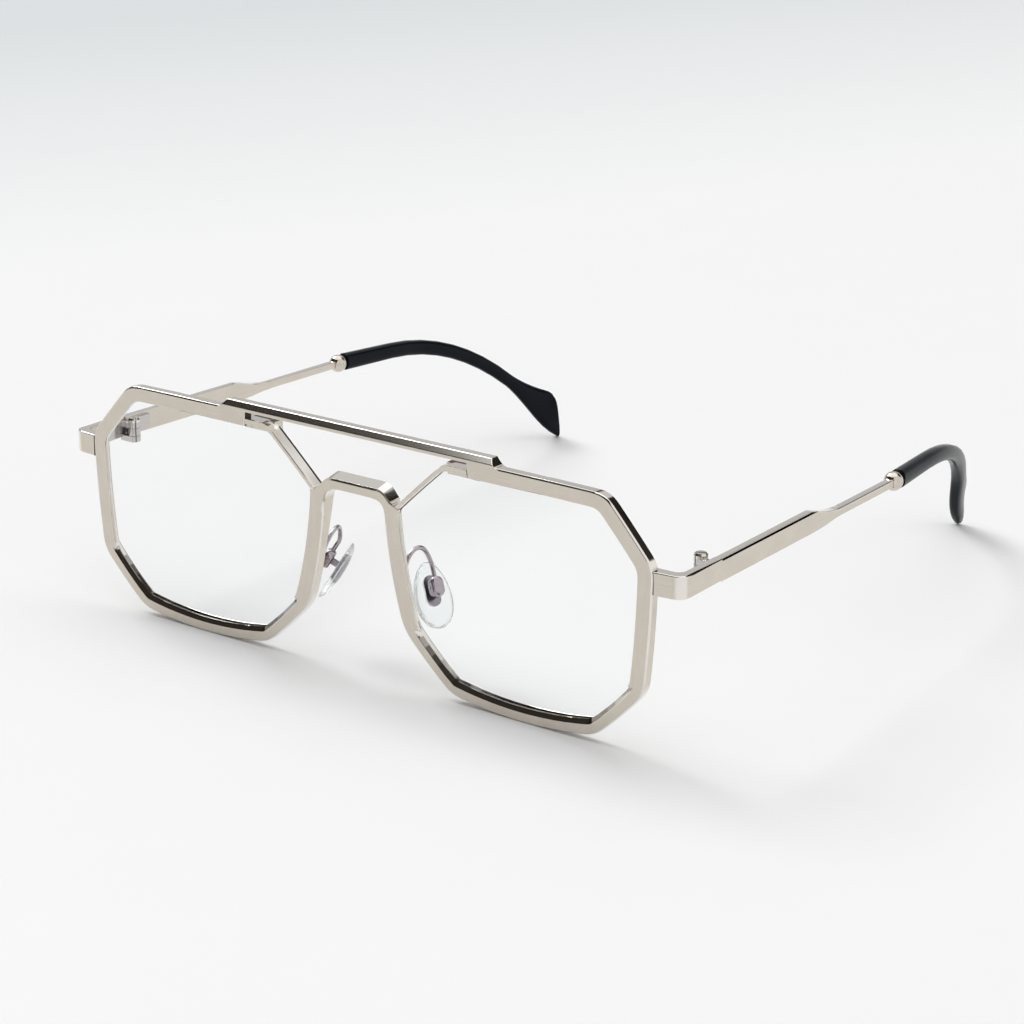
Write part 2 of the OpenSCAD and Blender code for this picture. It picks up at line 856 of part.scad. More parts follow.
module core_wire(r, reach, n) {
  steps = 18;
  skin([
    for (k = [0 : steps])
      let (
        t = (reach + 0.05) * k / steps - 0.05,
        d = along(tip_line(t - 0.02), tip_line(t + 0.02)),
        side = along([0, 0, 0], cross(d, [0, 0, 1]))
      )
        ring(tip_line(t), side, cross(side, d), 2 * r, 2 * r, 1, n)
  ]);
}

module temple_shape() {
  foot = blade_l + taper_l;
  color(brushed)
    union() {
      temple_place()
        difference() {
          intersection() {
            side_slab(-blade_t, 0)
              temple_side_outline();
            translate([0, 0, -blade_h])
              linear_extrude(2 * blade_h)
                polygon([
                  [0, 0],
                  [0, bar_end + 5],
                  [-bar_t, bar_end + 5],
                  [-bar_t, foot],
                  [-blade_t, blade_l],
                  [-blade_t, 0]
                ]);
          }
          translate([0, 0, blade_h / 2])
            rotate([0, 45, 0])
              cube([blade_chamfer * 1.2, 4 * blade_l, blade_chamfer * 1.2], center = true);
        }
      core_wire(core_r, 2.5, 12);
    }
}

// Ball-shaped ferrule with a square hole for the bar
module ferrule_shape() {
  color(polished)
    temple_place()
      translate([-blade_t / 2, bar_end, -bar_drop])
        difference() {
          intersection() {
            sphere(r = ferrule_r, $fn = 48);
            cube([5, 2 * ferrule_half, 5], center = true);
          }
          translate([blade_t / 2 - bar_t - 0.01, -5, -bar_t / 2 - 0.01])
            cube([bar_t + 0.02, 10, bar_t + 0.02]);
        }
}

// Temple tip: a rounded section that widens into a paddle, whose end face stands upright
function flare(t) = max(0, t - 2);
function tip_height(t) = tip_h - 0.3 * min(t, 2) + (paddle_h - tip_h + 0.6) * pow(flare(t), 1.5);
function tip_width(t) = tip_w - 0.15 * min(t, 2);
function tip_high(t) =
  let (
    d = along(tip_line(t - 0.02), tip_line(t + 0.02)),
    across = along([0, 0, 0], [0, -d[2], d[1]]),
    turn = pow(min(1, flare(t)), 3)
  )
    along([0, 0, 0], across * (1 - turn) + [0, -0.16, 1] * turn);
function tip_ring(t, scale_by) =
  let (
    d = along(tip_line(t - 0.02), tip_line(t + 0.02)),
    side = along([0, 0, 0], cross(d, [0, 0, 1]))
  )
    ring(tip_line(t), side, tip_high(t), scale_by * tip_width(t), scale_by * tip_height(t), 0.7, 20);

module temple_tip_shape() {
  rows = concat([0.02, 0.5, 1], [for (k = [1 : 8]) 1 + k / 8], [for (k = [1 : 10]) 2 + k / 10]);
  color(black)
    difference() {
      skin(concat([for (t = rows) tip_ring(t, 1)], [tip_ring(3.02, 0.96), tip_ring(3.035, 0.88), tip_ring(3.04, 0.75)]));
      core_wire(core_r + 0.05, 2.52, 12);
    }
}

// Nose pad arm: a wire that lies against the back of the band, then loops up, back and down
// into the end of the pad box
module pad_arm_shape() {
  top = [9.8, 6.6, 26];
  foot = [nasal_x + 0.15, front_depth + arm_r - 0.03, box_z + 0.4];
  leave = foot + [-0.45, 0, 1.8];
  box_in = pad_point([-box_l / 2 + 0.03, 0, box_mid]);
  rise = [
    for (t = [0 : 0.125 : 1])
      bezier(leave, leave + [-0.9, 0.3, 4.2], top, t)
  ];
  drop = [
    for (t = [0.125 : 0.125 : 1])
      bezier(top, top + [0.3, 2, 2.2], box_in - 2.6 * pad_down, t)
  ];
  route = concat([foot], rise, drop, [box_in - 1.2 * pad_down, box_in]);
  last = len(route) - 1;
  color(polished)
    skin([
      for (k = [0 : last])
        let (d = along(route[max(0, k - 1)], route[min(last, k + 1)]))
          arm_ring(route[k], d, arm_r, 12)
    ]);
}

// A circle around point p across direction d, turned by a fixed side direction
function arm_ring(p, d, r, n) =
  let (
    high = along([0, 0, 0], cross(d, [0.97, -0.2, 0.1])),
    side = cross(d, high)
  ) [for (k = [0 : n - 1]) p + r * (side * cos(360 * k / n) + high * sin(360 * k / n))];

// The pad's own axes: x along its length, y along its width and z away from its face
function pad_point(p) = box_at + pad_down * p[0] + pad_wide * p[1] - pad_face * p[2];
module pad_place() {
  multmatrix([
    [pad_down[0], pad_wide[0], -pad_face[0], box_at[0]],
    [pad_down[1], pad_wide[1], -pad_face[1], box_at[1]],
    [pad_down[2], pad_wide[2], -pad_face[2], box_at[2]],
    [0, 0, 0, 1]
  ])
    children();
}

module pad_box_shape() {
  run = box_l / 2 - box_r;
  slot_l = post_t + 0.8;
  color(polished)
    pad_place()
      difference() {
        translate([0, 0, box_mid - box_half])
          linear_extrude(2 * box_half)
            union() {
              translate([run, 0])
                circle(r = box_r);
              translate([-run, 0])
                circle(r = box_r);
              square([2 * run, 2 * box_r], center = true);
            }
        translate([-slot_l / 2, -post_w / 2 - 0.08, -box_half - 0.5])
          cube([slot_l, post_w + 0.16, 2 * box_half + 0.3]);
        rotate([90, 0, 0])
          cylinder(r = pad_screw_r + 0.01, h = 4 * box_r, center = true);
      }
}

module pad_screw_shape() {
  color(steel)
    pad_place()
      difference() {
        rotate([90, 0, 0])
          cylinder(r = pad_screw_r, h = 2 * box_r + 0.3, center = true);
        translate([0, -box_r - 0.15, 0])
          cube([2, 0.3, 0.18], center = true);
      }
}

module pad_insert_shape() {
  color(insert_tint)
    pad_place()
      difference() {
        union() {
          translate([0, 0, -pad_stand - insert_t])
            linear_extrude(insert_t)
              insert_outline(0);
          translate([-post_t / 2, -post_w / 2, -pad_stand - 0.01])
            cube([post_t, post_w, pad_stand + 0.55]);
        }
        rotate([90, 0, 0])
          cylinder(r = pad_screw_r + play, h = 4, center = true);
      }
}

module insert_outline(grow_by) {
  r = 1.5 + grow_by;
  translate([-1.3, 0])
    circle(r = r);
  translate([1.9, 0])
    circle(r = r);
  translate([-1.3, -r])
    square([3.2, 2 * r]);
}

// Nose pad: an egg outline whose rings shrink toward the face, with a pocket for the insert
function pad_scale(u) = min(0.88 + 1.2 * u, pow(max(0, 1.02 - pow(u, 2.6)), 0.55));
function pad_ring(u) = [
  for (k = [0 : 35])
    let (a = 10 * k, s = pad_scale(u))
      [
        pad_shift + s * pad_l / 2 * cos(a),
        s * pad_w / 2 * sin(a) * (1 + 0.13 * cos(a)),
        -pad_stand - pad_t * u
      ]
];

module nose_pad_shape() {
  color(clear)
    pad_place()
      difference() {
        skin([for (u = [0, 0.1, 0.3, 0.5, 0.65, 0.78, 0.88, 0.95, 1]) pad_ring(u)]);
        translate([0, 0, -pad_stand - insert_t])
          linear_extrude(2)
            insert_outline(0.02);
      }
}

// Moves the origin from the front faces to the middle of the object's depth
module on_left() {
  translate([0, -half_depth, 0])
    children();
}

module on_right() {
  mirror([1, 0, 0])
    on_left()
      children();
}

module front_frame() {
  on_left()
    front_frame_shape();
}

module eyewire_left() {
  on_left()
    eyewire_shape();
}

module eyewire_right() {
  on_right()
    eyewire_shape();
}

module lens_left() {
  on_left()
    lens_shape();
}

module lens_right() {
  on_right()
    lens_shape();
}

module closing_screw_left() {
  on_left()
    closing_screw_shape();
}

module closing_screw_right() {
  on_right()
    closing_screw_shape();
}

module end_piece_left() {
  on_left()
    end_piece_shape();
}

module end_piece_right() {
  on_right()
    end_piece_shape();
}

module front_hinge_left() {
  on_left()
    front_hinge_shape();
}

module front_hinge_right() {
  on_right()
    front_hinge_shape();
}

module hinge_screw_left() {
  on_left()
    hinge_screw_shape();
}

module hinge_screw_right() {
  on_right()
    hinge_screw_shape();
}

module temple_hinge_left() {
  on_left()
    temple_hinge_shape();
}

module temple_hinge_right() {
  on_right()
    temple_hinge_shape();
}

module temple_left() {
  on_left()
    temple_shape();
}

module temple_right() {
  on_right()
    temple_shape();
}

module ferrule_left() {
  on_left()
    ferrule_shape();
}

module ferrule_right() {
  on_right()
    ferrule_shape();
}

module temple_tip_left() {
  on_left()
    temple_tip_shape();
}

module temple_tip_right() {
  on_right()
    temple_tip_shape();
}

module pad_arm_left() {
  on_left()
    pad_arm_shape();
}

module pad_arm_right() {
  on_right()
    pad_arm_shape();
}

module pad_box_left() {
  on_left()
    pad_box_shape();
}

module pad_box_right() {
  on_right()
    pad_box_shape();
}

module pad_screw_left() {
  on_left()
    pad_screw_shape();
}

module pad_screw_right() {
  on_right()
    pad_screw_shape();
}

module pad_insert_left() {
  on_left()
    pad_insert_shape();
}

module pad_insert_right() {
  on_right()
    pad_insert_shape();
}

module nose_pad_left() {
  on_left()
    nose_pad_shape();
}

module nose_pad_right() {
  on_right()
    nose_pad_shape();
}

front_frame();
eyewire_left();
eyewire_right();
lens_left();
lens_right();
closing_screw_left();
closing_screw_right();
end_piece_left();
end_piece_right();
front_hinge_left();
front_hinge_right();
hinge_screw_left();
hinge_screw_right();
temple_hinge_left();
temple_hinge_right();
temple_left();
temple_right();
ferrule_left();
ferrule_right();
temple_tip_left();
temple_tip_right();
pad_arm_left();
pad_arm_right();
pad_box_left();
pad_box_right();
pad_screw_left();
pad_screw_right();
pad_insert_left();
pad_insert_right();
nose_pad_left();
nose_pad_right();
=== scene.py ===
import json
import math

import bmesh
import bpy
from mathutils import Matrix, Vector


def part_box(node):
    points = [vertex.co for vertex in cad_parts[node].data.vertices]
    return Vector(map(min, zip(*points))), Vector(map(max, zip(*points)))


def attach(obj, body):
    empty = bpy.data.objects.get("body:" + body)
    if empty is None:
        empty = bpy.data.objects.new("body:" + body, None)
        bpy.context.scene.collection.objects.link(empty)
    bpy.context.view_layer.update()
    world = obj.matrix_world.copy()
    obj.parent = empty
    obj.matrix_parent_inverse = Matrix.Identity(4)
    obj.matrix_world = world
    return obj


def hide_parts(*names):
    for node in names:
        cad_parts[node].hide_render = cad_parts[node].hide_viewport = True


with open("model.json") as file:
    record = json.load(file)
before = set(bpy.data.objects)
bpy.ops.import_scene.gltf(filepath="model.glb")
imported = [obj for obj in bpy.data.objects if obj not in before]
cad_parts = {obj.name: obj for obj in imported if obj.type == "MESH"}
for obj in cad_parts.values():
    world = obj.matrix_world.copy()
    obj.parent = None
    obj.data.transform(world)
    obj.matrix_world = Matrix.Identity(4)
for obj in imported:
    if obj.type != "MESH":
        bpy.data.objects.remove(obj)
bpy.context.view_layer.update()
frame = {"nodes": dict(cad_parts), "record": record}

MM = 0.001

# The plane of the rims' front faces, which the CAD keeps at the lowest y of the front frame
FRONT_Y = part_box("front_frame")[0][1]
# How far behind that plane the temples begin, in millimetres
TEMPLE_START = (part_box("temple_left")[0][1] - FRONT_Y) * 1000

# The photograph's camera, from the middle of the rims' front plane, in millimetres
CAMERA_AT = (320.17, -393.41, 212.38)
CAMERA_LOOK = (-0.55042, 0.76578, -0.33260)
CAMERA_LENS = 98.44
SENSOR = 36

# The lens opening's corners on the wearer's left, clockwise from the top nasal corner, in millimetres
OPENING = [(21.1, 46), (56.2, 46), (65, 36), (63.6, 13.5), (54.7, 4.5), (24.1, 4.5), (15.2, 13), (10.7, 36.3)]
OPENING_CENTRE = (38, 25)

NICKEL = (0.715, 0.655, 0.575, 1)
NICKEL_BRIGHT = (0.80, 0.76, 0.71, 1)
# Nickel darkened for the ferrules: painted shade for the darker room that their round surfaces reflect
NICKEL_SHADED = (0.66, 0.60, 0.53, 1)
STEEL = (0.60, 0.57, 0.555, 1)
WIRE_GREY = (0.47, 0.425, 0.45, 1)
BOX_GREY = (0.43, 0.385, 0.425, 1)
INSERT_GREY = (0.31, 0.28, 0.315, 1)

# The CAD meshes' points nearer than this, in millimetres, become one point, and faces that turn less, one face
MERGE_DISTANCE = 0.015
FLAT_TURN = 0.6
# Turns in degrees: shading breaks above the first, edges are rounded above the second, and the pair is a curve's
SHARP_TURN = 40
ROUNDED_TURN = 28
CURVE_TURNS = (3, 38)

# The eyewires' bare stretch beside the bridge lies nearer to the middle and higher than these, its ridge this far
# behind the front plane, and its front edge leans in by this much, in millimetres
BARE_WIRE_REACH = 20.5
BARE_WIRE_FOOT = 36
WIRE_RIDGE = 2.0
WIRE_LEAN = 0.33

# The pad arms' wire on the wearer's left, through the CAD wire's points with its bends evened out, in millimetres; y
# runs back from the rims' front
ARM_RADIUS = 0.45
ARM_ROUTE = [
    (10.85, 2.52, 19.1),
    (10.4, 2.52, 21.0),
    (10.05, 2.8, 22.9),
    (9.85, 3.7, 24.6),
    (9.78, 5.1, 25.9),
    (9.95, 6.7, 26.55),
    (10.35, 8.1, 26.2),
    (10.85, 9.0, 24.8),
    (11.43, 9.45, 22.9),
    (12.07, 9.15, 21.7),
    (12.61, 8.83, 20.68),
]

# Painted shade in grooves and recesses, as distances from the middle plane and from the floor in millimetres: the
# groove between rim and end piece, the reach of a temple's front seam, the notch's end wall in the rim, and the
# closing block beside it
RIM_GROOVE = (68.05, 68.4)
SEAM_REACH = 0.16
NOTCH_WALL = 27
BLOCK_INNER_END = 21
BLOCK_TOP = 47.5

# How bright the studio's parts are: the white sweep, the back wall over it, the right side, the pale band along the
# horizon, the overhead softbox and the lamp at the left
SWEEP_LIGHT = 0.58
WALL_LIGHT = 0.68
SIDE_LIGHT = 0.95
HORIZON_LIGHT = 0.86
SOFTBOX_LIGHT = 1.42
LAMP_LIGHT = 1.2
# How dark the room on the camera's side and the flag are, and the tint of the studio's dark parts
DARK_ROOM = 0.04
FLAG_SHADE = 0.03
WARM_DARK = (1.0, 0.82, 0.66, 1)
WHITE = (1.0, 1.0, 1.0, 1)
# Where the flag and the softbox stand, the way that the lamp shines, and how wide it looks, in degrees
FLAG_TOWARD = (0.33, 0.77, 0.53)
SOFTBOX_TOWARD = (-0.15, 0.10, 1)
LAMP_LOOK = (0.72, -0.10, -0.69)
LAMP_SPREAD = 26

FLOOR_SIZE = 12


class Graph:
    """A material's node tree, with short calls for the nodes that it uses."""

    def __init__(self, name):
        self.material = bpy.data.materials.new(name)
        self.material.use_nodes = True
        self.tree = self.material.node_tree
        self.tree.nodes.clear()
        self.output = self.tree.nodes.new("ShaderNodeOutputMaterial")

    def node(self, kind, inputs=None, **settings):
        made = self.tree.nodes.new("ShaderNode" + kind)
        for key, value in settings.items():
            setattr(made, key, value)
        for key, value in (inputs or {}).items():
            self.put(made.inputs[key], value)
        return made

    def put(self, socket, value):
        if isinstance(value, bpy.types.NodeSocket):
            self.tree.links.new(value, socket)
        else:
            socket.default_value = value

    def math(self, operation, a, b=0.0):
        return self.node("Math", {0: a, 1: b}, operation=operation).outputs[0]

    def dot(self, a, b):
        return self.node("VectorMath", {0: a, 1: b}, operation="DOT_PRODUCT").outputs["Value"]

    def vector(self, x, y, z):
        return self.node("CombineXYZ", {0: x, 1: y, 2: z}).outputs[0]

    def stretched(self, across, across_scale, along, along_scale, layer):
        return self.vector(
            self.math("MULTIPLY", across, across_scale), self.math("MULTIPLY", along, along_scale), layer
        )

    def noise(self, vector, scale, detail=2.0, roughness=0.5):
        inputs = {"Vector": vector, "Scale": scale, "Detail": detail, "Roughness": roughness}
        return self.node("TexNoise", inputs).outputs["Fac"]

    def span(self, value, low, high, new_low=0.0, new_high=1.0):
        inputs = {0: value, 1: low, 2: high, 3: new_low, 4: new_high}
        return self.node("MapRange", inputs).outputs[0]

    def mix_colour(self, factor, a, b):
        made = self.node("Mix", data_type="RGBA")
        self.put(made.inputs[0], factor)
        self.put(made.inputs[6], a)
        self.put(made.inputs[7], b)
        return made.outputs[2]

    def bump(self, height, distance, strength=1.0):
        inputs = {"Height": height, "Distance": distance, "Strength": strength}
        return self.node("Bump", inputs).outputs[0]

    def finish(self, shader):
        self.tree.links.new(shader, self.output.inputs["Surface"])
        return self.material

    def coordinates(self):
        return self.node("TexCoord").outputs

    def split(self, vector):
        return self.node("SeparateXYZ", {0: vector}).outputs


def edge_directions():
    """Outward directions of the lens opening's eight edges, in the (x, z) plane."""
    found = []
    for here, there in zip(OPENING, OPENING[1:] + OPENING[:1]):
        run, rise = there[0] - here[0], there[1] - here[1]
        length = math.hypot(run, rise)
        found.append((-rise / length, run / length))
    return found


def rim_grain(graph, place):
    """Coordinates across and along the brushing, which follows each side of the octagon."""
    parts = graph.split(place)
    x = graph.math("SUBTRACT", graph.math("ABSOLUTE", parts[0]), OPENING_CENTRE[0] * MM)
    z = graph.math("SUBTRACT", parts[2], OPENING_CENTRE[1] * MM)
    spot = graph.vector(x, 0.0, z)
    across = None
    for direction in edge_directions():
        reach = graph.dot(spot, (direction[0], 0.0, direction[1]))
        across = reach if across is None else graph.math("MAXIMUM", across, reach)
    turn = graph.math("MULTIPLY", graph.math("ARCTAN2", z, x), 0.03)
    return across, turn


def level_grain(graph, place):
    """Brushing that runs level, along x on the front faces and along y on the sides."""
    parts = graph.split(place)
    return parts[2], graph.math("ADD", parts[0], parts[1])


def darkened(colour, factor):
    return tuple(channel * factor for channel in colour[:3]) + (1,)


def brushed(name, grain, colour, satin=0.34):
    """Brushed flats with polished edges: the brushing shows only where a face looks along an axis."""
    graph = Graph(name)
    spots = graph.coordinates()
    across, along = grain(graph, spots["Object"])
    streak = graph.noise(graph.stretched(across, 4200.0, along, 110.0, 0.0), 1.0, 3.0, 0.6)
    fine = graph.noise(graph.stretched(across, 11000.0, along, 420.0, 3.0), 1.0, 2.0, 0.6)
    cloud = graph.noise(spots["Object"], 160.0, 3.0, 0.55)
    grain_height = graph.math("ADD", graph.math("MULTIPLY", streak, 0.6), graph.math("MULTIPLY", fine, 0.4))
    facing = graph.node("VectorMath", {0: spots["Normal"]}, operation="ABSOLUTE").outputs[0]
    sides = graph.split(facing)
    flat = graph.math("MAXIMUM", sides[0], sides[1])
    is_flat = graph.span(flat, 0.93, 0.985)  # about 21 to 10 degrees off an axis
    rough_flat = graph.span(streak, 0.3, 0.7, satin - 0.05, satin + 0.07)
    rough = graph.span(is_flat, 0.0, 1.0, 0.1, rough_flat)
    darker = darkened(colour, 0.88)
    tone = graph.math("ADD", graph.math("MULTIPLY", streak, 0.6), graph.math("MULTIPLY", cloud, 0.4))
    colour_flat = graph.mix_colour(graph.span(tone, 0.35, 0.65), darker, colour)
    colour_out = graph.mix_colour(is_flat, NICKEL_BRIGHT, colour_flat)
    relief = graph.bump(graph.math("MULTIPLY", grain_height, is_flat), 0.000012, 0.5)
    shader = graph.node(
        "BsdfPrincipled",
        {"Base Color": colour_out, "Metallic": 1.0, "Roughness": rough, "Normal": relief},
    )
    return graph.finish(shader.outputs[0])


def polished(name, colour, gloss=0.1):
    """Polished metal with faint handling marks."""
    graph = Graph(name)
    spots = graph.coordinates()
    wipe = graph.noise(spots["Object"], 380.0, 4.0, 0.6)
    speck = graph.noise(spots["Object"], 2600.0, 2.0, 0.5)
    rough = graph.span(wipe, 0.35, 0.7, gloss - 0.03, gloss + 0.06)
    darker = darkened(colour, 0.9)
    tone = graph.mix_colour(graph.span(speck, 0.4, 0.6), darker, colour)
    relief = graph.bump(speck, 0.000004, 0.25)
    shader = graph.node(
        "BsdfPrincipled",
        {"Base Color": tone, "Metallic": 1.0, "Roughness": rough, "Normal": relief},
    )
    return graph.finish(shader.outputs[0])


def acetate(name):
    """Glossy black acetate with a faint wavy polish and fine wear."""
    graph = Graph(name)
    spots = graph.coordinates()
    wave = graph.noise(spots["Object"], 150.0, 2.0, 0.5)
    scuff = graph.noise(spots["Object"], 1800.0, 3.0, 0.6)
    rough = graph.span(scuff, 0.35, 0.75, 0.16, 0.28)
    tone = graph.mix_colour(graph.span(wave, 0.35, 0.7), (0.0025, 0.004, 0.007, 1), (0.005, 0.007, 0.011, 1))
    relief = graph.bump(graph.math("ADD", wave, graph.math("MULTIPLY", scuff, 0.08)), 0.00006, 0.35)
    shader = graph.node(
        "BsdfPrincipled",
        {"Base Color": tone, "Roughness": rough, "Normal": relief, "IOR": 1.38},
    )
    shader.inputs["Specular IOR Level"].default_value = 0.16
    return graph.finish(shader.outputs[0])


def painted_recess_shade(name):
    """Painted shade for grooves and recesses: dull dark brown with fine grit."""
    graph = Graph(name)
    grit = graph.noise(graph.coordinates()["Object"], 3000.0, 3.0, 0.6)
    tone = graph.mix_colour(grit, (0.03, 0.026, 0.022, 1), (0.08, 0.07, 0.06, 1))
    relief = graph.bump(grit, 0.00001, 0.4)
    shader = graph.node("BsdfPrincipled", {"Base Color": tone, "Roughness": 0.7, "Normal": relief})
    return graph.finish(shader.outputs[0])


def clear_lens(name):
    """Clear coated lens: mostly see-through, with a reflection that grows toward its edges."""
    graph = Graph(name)
    spots = graph.coordinates()
    haze = graph.noise(spots["Object"], 60.0, 2.0, 0.5)
    rough = graph.span(haze, 0.3, 0.7, 0.015, 0.03)
    fresnel = graph.node("Fresnel", {"IOR": 1.12}).outputs[0]
    see = graph.node("BsdfTransparent", {"Color": (0.994, 0.997, 0.997, 1)}).outputs[0]
    gloss = graph.node("BsdfGlossy", {"Color": (0.9, 0.95, 1, 1), "Roughness": rough}).outputs[0]
    mixed = graph.node("MixShader", {0: fresnel, 1: see, 2: gloss})
    return graph.finish(mixed.outputs[0])


def silicone(name):
    """Clear silicone with a faint grey body that shows at its edges."""
    graph = Graph(name)
    spots = graph.coordinates()
    ripple = graph.noise(spots["Object"], 420.0, 2.0, 0.5)
    rough = graph.span(ripple, 0.3, 0.7, 0.05, 0.12)
    relief = graph.bump(ripple, 0.00002, 0.3)
    body = graph.node(
        "BsdfPrincipled",
        {"Base Color": (0.93, 0.95, 0.96, 1), "Roughness": rough, "Normal": relief, "IOR": 1.41},
    )
    body.inputs["Transmission Weight"].default_value = 1.0
    see = graph.node("BsdfTransparent", {"Color": (0.97, 0.98, 0.98, 1)}).outputs[0]
    edge = graph.node("LayerWeight", {"Blend": 0.42}).outputs["Facing"]
    mixed = graph.node("MixShader", {0: graph.span(edge, 0.0, 0.8, 0.25, 1.0), 1: see, 2: body.outputs[0]})
    return graph.finish(mixed.outputs[0])


def dress(names, material):
    """Gives CAD nodes their material."""
    for name in names:
        mesh = frame["nodes"][name].data
        mesh.materials.clear()
        mesh.materials.append(material)


def both(*names):
    return [f"{name}_{side}" for name in names for side in ("left", "right")]


def bevelled(work, edges, width, rounds=2):
    made = bmesh.ops.bevel(
        work, geom=edges, offset=width * MM, offset_type="OFFSET", segments=rounds, profile=0.5,
        affect="EDGES", clamp_overlap=False, loop_slide=True,
    )
    return set(made["faces"])


def middle_of(edge):
    return (edge.verts[0].co + edge.verts[1].co) / 2


def slopes_up(normal):
    return 0.4 < normal.z < 0.95


def on_bare_wire(point):
    return abs(point.x) < BARE_WIRE_REACH * MM and point.z > BARE_WIRE_FOOT * MM


def is_bare_wire(edge):
    """The long outer edges of the eyewire's open stretch beside the bridge."""
    outward = [face.normal for face in edge.link_faces if slopes_up(face.normal)]
    flat = [face.normal for face in edge.link_faces if abs(face.normal.y) > 0.95]
    return len(outward) == len(flat) == 1 and on_bare_wire(middle_of(edge))


def crown_wire(work):
    """Leans the front part of the bare wire's outer wall forward, up to a sharp ridge near its back."""
    least_area = 2 * MM * MM
    walls = [
        face
        for face in work.faces
        if slopes_up(face.normal)
        and abs(face.normal.y) < 0.1
        and face.calc_area() > least_area
        and on_bare_wire(face.calc_center_median())
    ]
    outward = {}
    for face in walls:
        for vert in face.verts:
            outward.setdefault(vert, []).append(face.normal.copy())
    wall_edges = list(dict.fromkeys(edge for face in walls for edge in face.edges))
    cut = bmesh.ops.bisect_plane(
        work,
        geom=walls + wall_edges + list(outward),
        dist=0.01 * MM,
        plane_co=(0, FRONT_Y + WIRE_RIDGE * MM, 0),
        plane_no=(0, 1, 0),
    )
    for vert, normals in outward.items():
        if vert.is_valid and vert.co.y < FRONT_Y + 0.2 * MM:
            vert.co -= sum(normals, Vector()).normalized() * WIRE_LEAN * MM
    for part in cut["geom_cut"]:
        if isinstance(part, bmesh.types.BMEdge):
            part.seam = True  # stand_in keeps it sharp


def is_upper_outside(edge):
    """The edges between the top and the outer side of the end pieces and temples, and the end pieces' front."""
    top = [face for face in edge.link_faces if face.normal.z > 0.9]
    wall = [face.normal for face in edge.link_faces if abs(face.normal.z) < 0.2]
    if len(top) != 1 or len(wall) != 1:
        return False
    outward = wall[0].x * math.copysign(1, edge.verts[0].co.x)
    return outward > 0.3 or (wall[0].y < -0.3 and edge.verts[0].co.y < FRONT_Y + 5 * MM)


def is_box_rim(edge):
    """The outline of a pad box's one broad face."""
    least_area = 5 * MM * MM
    broad = [face for face in edge.link_faces if face.calc_area() > least_area]
    return len(broad) == 1 and edge.calc_face_angle(0) > math.radians(60)


def is_front_outline(edge):
    """The edges of the front frame's front faces whose walls look away from the middle of their lens opening."""
    middle = middle_of(edge)
    front = [face for face in edge.link_faces if face.normal.y < -0.95]
    wall = [face.normal for face in edge.link_faces if abs(face.normal.y) < 0.3]
    if len(front) != 1 or len(wall) != 1:
        return False
    out_x = (abs(middle.x) - OPENING_CENTRE[0] * MM) * math.copysign(1, middle.x)
    out_z = middle.z - OPENING_CENTRE[1] * MM
    return out_x * wall[0].x + out_z * wall[0].z > 0


def cleaned(name):
    """A CAD node's mesh with its triangles joined to whole faces again."""
    work = bmesh.new()
    work.from_mesh(frame["nodes"][name].data)
    bmesh.ops.remove_doubles(work, verts=work.verts, dist=MERGE_DISTANCE * MM)
    bmesh.ops.dissolve_degenerate(work, dist=0.001 * MM, edges=work.edges)
    bmesh.ops.dissolve_limit(
        work,
        angle_limit=math.radians(FLAT_TURN),
        use_dissolve_boundaries=False,
        verts=work.verts,
        edges=work.edges,
    )
    return work


def linked(name, work, material):
    """An object in the scene made from a finished bmesh."""
    mesh = bpy.data.meshes.new(name)
    work.to_mesh(mesh)
    work.free()
    mesh.materials.append(material)
    piece = bpy.data.objects.new(name, mesh)
    bpy.context.scene.collection.objects.link(piece)
    return piece


def stand_in(name, work, material, sharp=SHARP_TURN):
    """A piece that stands for a CAD node, on the node's body; sharp is the turn above which shading breaks."""
    for edge in work.edges:
        edge.smooth = not edge.seam and edge.calc_face_angle(0) <= math.radians(sharp)
    piece = linked(name + "_softened", work, material)
    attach(piece, BODY_OF[name])
    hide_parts(name)
    return piece


def soften(names, material, width, shortest, first=None, reshape=None):
    """Pieces that stand for CAD nodes, with the small rounding that polishing leaves on their long edges.

    Widths and lengths are in millimetres. first is a test for edges that get a wider rounding before the others, its
    width and the least length; reshape changes the mesh before either.
    """
    for name in names:
        work = cleaned(name)
        rounded = set()
        if reshape:
            reshape(work)
        if first:
            chosen, first_width, least = first
            long = [e for e in work.edges if e.calc_length() > least * MM and chosen(e)]
            rounded |= bevelled(work, long, first_width, 4)
        tight = {v for e in work.edges if e.calc_length() < 2.2 * width * MM for v in e.verts}
        edges = [
            e
            for e in work.edges
            if e.is_manifold
            and e.calc_face_angle(0) > math.radians(ROUNDED_TURN)
            and e.calc_length() > shortest * MM
            and not set(e.verts) & tight
        ]
        rounded |= bevelled(work, edges, width)
        work.normal_update()
        for face in work.faces:
            turns = [math.degrees(e.calc_face_angle(0)) for e in face.edges if not set(e.link_faces) & rounded]
            face.smooth = face in rounded or any(CURVE_TURNS[0] < turn < CURVE_TURNS[1] for turn in turns)
        piece = stand_in(name, work, material)
        even = piece.modifiers.new("even_flats", "WEIGHTED_NORMAL")
        even.weight = 100
        even.keep_sharp = True


def darken(names, material, where):
    """Paints shade into the grooves and recesses of softened pieces, with a material.

    where tells which faces lie in them, from a place in millimetres and a direction: outward from the middle plane,
    back from the front plane, and up.
    """
    for name in names:
        mesh = bpy.data.objects[name + "_softened"].data
        mesh.materials.append(material)
        for face in mesh.polygons:
            side = math.copysign(1, face.center.x)
            place = (side * face.center.x / MM, (face.center.y - FRONT_Y) / MM, face.center.z / MM)
            if where(place, (side * face.normal.x, face.normal.y, face.normal.z)):
                face.material_index = 1


def in_end_piece_gap(place, facing):
    in_groove = RIM_GROOVE[0] < place[0] < RIM_GROOVE[1] and place[1] < 0.6
    on_front = facing[1] < -0.8 and place[1] < 0.3
    return (in_groove and not on_front) or in_temple_seam(place, facing)


